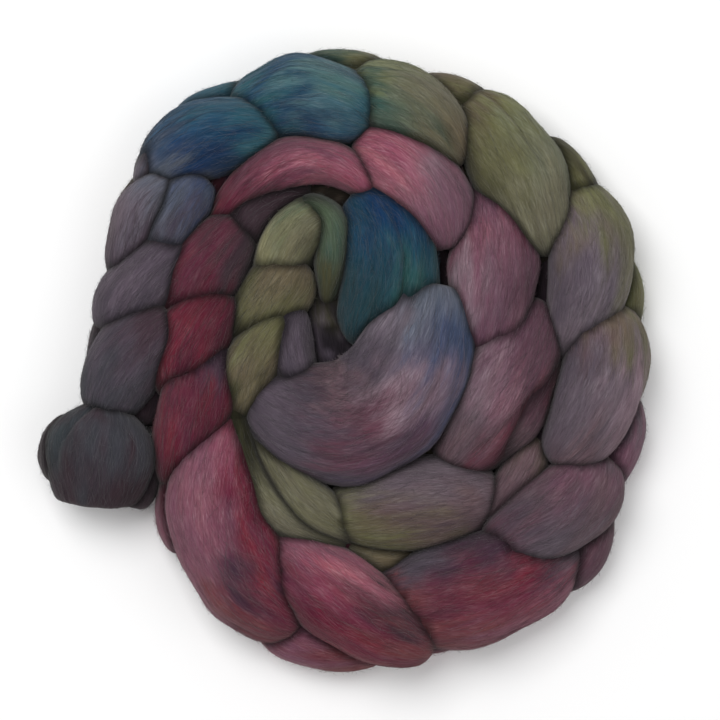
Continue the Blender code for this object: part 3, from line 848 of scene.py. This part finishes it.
def allLegs():
    # every leg of the braid, with its turn and how finely it is made
    for turnName, turn in (("outer", outerTurn), ("second", secondTurn), ("third", thirdTurn)):
        for name, leg in turn.items():
            yield turnName, name, leg, legForm["sides"], legForm["rings"]
    for rowName, row in (("back", backRow), ("under", underside)):
        level = (row["level"],)
        for name, (tail, belly, head, width, (dyeA, dyeB)) in row["legs"].items():
            leg = dict(
                tail=tail + level, belly=belly + level, head=head + level, width=width,
                height=row["height"], shape="puff", dyes=((0.25, 0, dyeA), (0.8, 0, dyeB)),
            )
            yield rowName, name, leg, legForm[rowName + "Sides"], legForm[rowName + "Rings"]


madeLegs = []
for seed, (turnName, name, leg, sides, rings) in enumerate(allLegs(), 12):
    rng = np.random.default_rng(seed)
    points, normals = legSurface(leg, rng, sides, rings)
    made = dict(turn=turnName, name=name, leg=leg, rng=rng, points=points, normals=normals)
    made["tree"] = legTree(points)
    made["blends"] = legDyes(leg, points, rng)
    madeLegs.append(made)
print("legs shaped:", len(madeLegs))

wool = combedWool()
for made in madeLegs:
    made["clear"] = clearance(made, [other for other in madeLegs if other is not made])
    legPiece(made, wool)
print("legs made")


# fibres that have worked loose: lying ones, and the short fuzz that stands off and softens the outline;
# how many on each turn, steps along one, and the rest in mm, but for the scatter in radians
looseFibres = {
    "lying": dict(
        counts=dict(outer=3300, second=2300, third=1500), steps=6, length=(5.0, 19.0),
        radius=(0.035, 0.07), lift=(0.02, 0.35), scatter=0.26, bend=0.9, standing=False,
    ),
    "fuzz": dict(
        counts=dict(outer=5600, second=2600, third=1700, back=2300), steps=4, length=(1.2, 4.6),
        radius=(0.028, 0.048), lift=(0.25, 1.5), scatter=0.9, bend=0.4, standing=True,
    ),
}
fibreLook = {
    "spare": 4,  # fibres tried for each one wanted
    "starts": (0.02, 0.98),  # from tail to head
    "ends": (0.012, 0.988),
    "around": (-0.22, 1.22),  # of half a turn: seldom underneath
    "least": 0.02,  # mm above the leg
    "lowest": 0.3,  # mm above the floor
    "clearBy": 0.12,  # mm from any other leg
    "taper": (0.12, 0.88),  # of half a turn: thinnest at both ends
    "tip": 0.1,  # mm
    # partly painted sheen: loose fibres mostly come out lighter than the leg, for their glint as well as
    # their own tone
    "brightnessAndSheen": (0.85, 1.4),
    "paleness": 0.18,  # the largest share of undyed wool in a fibre
    "undyed": (0.25, 0.235, 0.23),
    "mottle": (0.3, 0.7, 0.8, 1.25),  # noise from, to, shade from, to
    "mottleScale": 260.0,
    "roughness": 0.8,
    "specular": 0.2,
    "sheen": 0.2,
}


def onLeg(grid, ring, side):
    # the grid's value at a fractional ring and side
    rings, sides = grid.shape[0] - 1, grid.shape[1]
    ring = np.clip(ring, 0, rings - 1e-6)
    low, step = ring.astype(int), (ring - np.floor(ring))[..., None]
    left, part = np.floor(side).astype(int), (side - np.floor(side))[..., None]
    a = grid[low, left % sides] * (1 - part) + grid[low, (left + 1) % sides] * part
    b = grid[low + 1, left % sides] * (1 - part) + grid[low + 1, (left + 1) % sides] * part
    return a * (1 - step) + b * step


def fibrePaths(made, kind, count, rng):
    # the middle lines in mm of the loose fibres of one leg, their radii and their colours, with the leg's
    # painted valley shade
    leg, points, look = made["leg"], made["points"], fibreLook
    rings, sides = points.shape[0] - 1, points.shape[1]
    draws = count * look["spare"]
    steps = np.linspace(0, 1, kind["steps"])[None, :]
    t = rng.uniform(*look["starts"], draws)
    length = rng.uniform(*kind["length"], draws)
    slant = rng.normal(0, kind["scatter"], draws)
    onward = t + rng.choice((-1, 1), draws) * length * np.cos(slant) / legLength(leg)
    begin, finish = (np.arccos(1 - 2 * np.clip(ends, *look["ends"])) / math.pi for ends in (t, onward))
    angle = rng.uniform(*look["around"], draws) * math.pi
    bend = rng.normal(0, kind["bend"], draws)[:, None] * steps * (1 - steps) * 4
    ring = (begin[:, None] + (finish - begin)[:, None] * steps) * rings
    aside = (length * np.sin(slant))[:, None] * steps + bend
    side = (angle[:, None] + aside / legReach(leg)) / (2 * math.pi) * sides
    rise = steps**1.6 if kind["standing"] else np.sin(steps * math.pi) ** 0.7
    lift = rng.uniform(*kind["lift"], draws)[:, None] * rise + look["least"]
    place = onLeg(points, ring, side) + onLeg(made["normals"], ring, side) * lift[..., None]
    clear = onLeg(made["clear"][..., None], ring, side)[..., 0]
    free = (clear.min(axis=1) > look["clearBy"]) & (place[..., 2].min(axis=1) > look["lowest"])
    kept = np.nonzero(free)[0][:count]
    # painted shade: a fibre takes the leg's dye darkened near neighbouring legs
    shaded = made["blends"][0] * valleyShade(made["clear"])[..., None]
    colour = onLeg(shaded, ring[kept, 1], side[kept, 1])
    # partly painted sheen: each fibre is lightened or darkened at random
    colour = colour * rng.uniform(*look["brightnessAndSheen"], len(kept))[:, None]
    pale = rng.uniform(0, look["paleness"], len(kept))[:, None]
    # painted shade: the undyed share is darkened by the same valley shade
    colour = colour * (1 - pale) + np.array(look["undyed"]) * valleyShade(clear[kept, 1])[:, None] * pale
    return place[kept], rng.uniform(*kind["radius"], len(kept)), colour


def unit(lines):
    return lines / np.maximum(np.linalg.norm(lines, axis=-1, keepdims=True), 1e-9)


def fibreMesh(name, places, radii, colours, finish):
    # one closed three-sided tube for each fibre, each with its own small place on the bake's map
    count, steps = places.shape[:2]
    forward = unit(np.gradient(places, axis=1))
    aside = unit(np.cross(forward, (0.31, 0.17, 0.93)))  # any line that few fibres follow
    above = np.cross(aside, forward)
    taper = np.sin(np.linspace(*fibreLook["taper"], steps) * math.pi) ** 0.5
    thick = (radii[:, None] * taper)[..., None]
    angles = [corner * 2 * math.pi / 3 for corner in range(3)]
    edges = [places + thick * (math.cos(angle) * aside + math.sin(angle) * above) for angle in angles]
    tubes = np.stack(edges, axis=2)  # fibre, step, corner, xyz
    tip = fibreLook["tip"]
    tips = np.stack((places[:, 0] - forward[:, 0] * tip, places[:, -1] + forward[:, -1] * tip), axis=1)
    each = steps * 3 + 2
    verts = np.concatenate((tubes.reshape(count, -1, 3), tips), axis=1).reshape(-1, 3) * mm
    faces, corners = closedTube(steps, 3, (each - 2, each - 1))
    grid = math.ceil(math.sqrt(count))
    cell = np.stack(np.divmod(np.arange(count), grid), axis=1)
    margin = mapping["fibreMargin"]
    slots = (cell[:, None] + margin + (1 - 2 * margin) * corners[None] / (steps + 1, 3)) / grid
    mesh = bpy.data.meshes.new(name)
    allFaces = [[vert + at * each for vert in face] for at in range(count) for face in faces]
    mesh.from_pydata(verts.tolist(), [], allFaces)
    addMap(mesh, "OFBake", slots)
    paint(mesh, "fibreDyePaintedShade", np.repeat(np.clip(colours, 0, 1), each, axis=0))
    addPiece(name, mesh, finish)


def fibreFinish():
    material, tree, shader = plainMaterial("looseFibre", {
        "Roughness": fibreLook["roughness"],
        "Specular IOR Level": fibreLook["specular"],
        "Sheen Weight": fibreLook["sheen"],
    })
    colour = addNode(tree, "ShaderNodeAttribute", attribute_name="fibreDyePaintedShade").outputs["Color"]
    place = addNode(tree, "ShaderNodeTexCoord").outputs["Object"]
    mottle = {"Vector": place, "Scale": fibreLook["mottleScale"], "Detail": 2.0}
    noise = addNode(tree, "ShaderNodeTexNoise", mottle).outputs["Fac"]
    value = ramp(tree, noise, *fibreLook["mottle"])
    tint = addNode(tree, "ShaderNodeHueSaturation", {"Color": colour, "Value": value})
    tree.links.new(tint.outputs[0], shader.inputs["Base Color"])
    return material


fibre = fibreFinish()
rng = np.random.default_rng(5)
for kindName, kind in looseFibres.items():
    for turnName, wanted in kind["counts"].items():
        members = [made for made in madeLegs if made["turn"] == turnName]
        areas = np.array([made["leg"]["width"] * legLength(made["leg"]) for made in members])
        shares = (wanted * areas / areas.sum()).astype(int)
        parts = [fibrePaths(made, kind, share, rng) for made, share in zip(members, shares)]
        places, radii, colours = (np.concatenate(column) for column in zip(*parts))
        fibreMesh(kindName + "_" + turnName, places, radii, colours, fibre)
        print(kindName, "fibres,", turnName + ":", len(places))


# floor, light and camera, in metres and watts
studio = {
    "floor": (0.93, 0.93, 0.93, 1.0),
    "floorRoughness": 0.9,
    "floorHalf": 3,
    "floorLevel": -0.0002,
    "ambient": 0.52,
    "ambientColour": (1, 1, 1, 1),
    "key": (12.0, 0.8, (-0.35, 0.4, 1.25)),  # power, size, where
    "fill": (3.0, 1.2, (0.8, -0.45, 1.0)),
    "lit": (0, 0, 0.02),
    "lens": 135.0,
    "sensor": 36.0,
    "nearest": 0.01,
    "distance": 1.161,
    "aim": (0.007, -0.001, 0.022),
    "elevation": 87.0,
}


def standFacing(name, data, place, target):
    # puts a light or a camera there, turned towards the target
    item = bpy.data.objects.new(name, data)
    item.location = place
    item.rotation_euler = (Vector(target) - Vector(place)).to_track_quat("-Z", "Y").to_euler()
    bpy.context.scene.collection.objects.link(item)
    return item


def areaLight(name, watts, size, place):
    light = bpy.data.lights.new(name, "AREA")
    light.energy = watts
    light.size = size
    standFacing(name, light, place, studio["lit"])


half = studio["floorHalf"]
floorCorners = [(x * half, y * half, studio["floorLevel"]) for x, y in ((-1, -1), (1, -1), (1, 1), (-1, 1))]
floorMesh = bpy.data.meshes.new("floor")
floorMesh.from_pydata(floorCorners, [], [(0, 1, 2, 3)])
floor = bpy.data.objects.new("floor", floorMesh)
bpy.context.scene.collection.objects.link(floor)
floorValues = {"Base Color": studio["floor"], "Roughness": studio["floorRoughness"]}
floorMesh.materials.append(plainMaterial("paleFloor", floorValues)[0])

world = bpy.data.worlds.new("studio")
bpy.context.scene.world = world
world.use_nodes = True
backdrop = world.node_tree.nodes["Background"]
backdrop.inputs["Color"].default_value = studio["ambientColour"]
backdrop.inputs["Strength"].default_value = studio["ambient"]
areaLight("key", *studio["key"])
areaLight("fill", *studio["fill"])

camera = bpy.data.cameras.new("camera")
camera.lens = studio["lens"]
camera.sensor_width = studio["sensor"]
camera.clip_start = studio["nearest"]
tilt = math.radians(studio["elevation"])
aim = Vector(studio["aim"])
eye = aim + studio["distance"] * Vector((0, -math.cos(tilt), math.sin(tilt)))
bpy.context.scene.camera = standFacing("camera", camera, eye, aim)
bpy.context.scene.view_settings.view_transform = "Standard"
print("studio set")
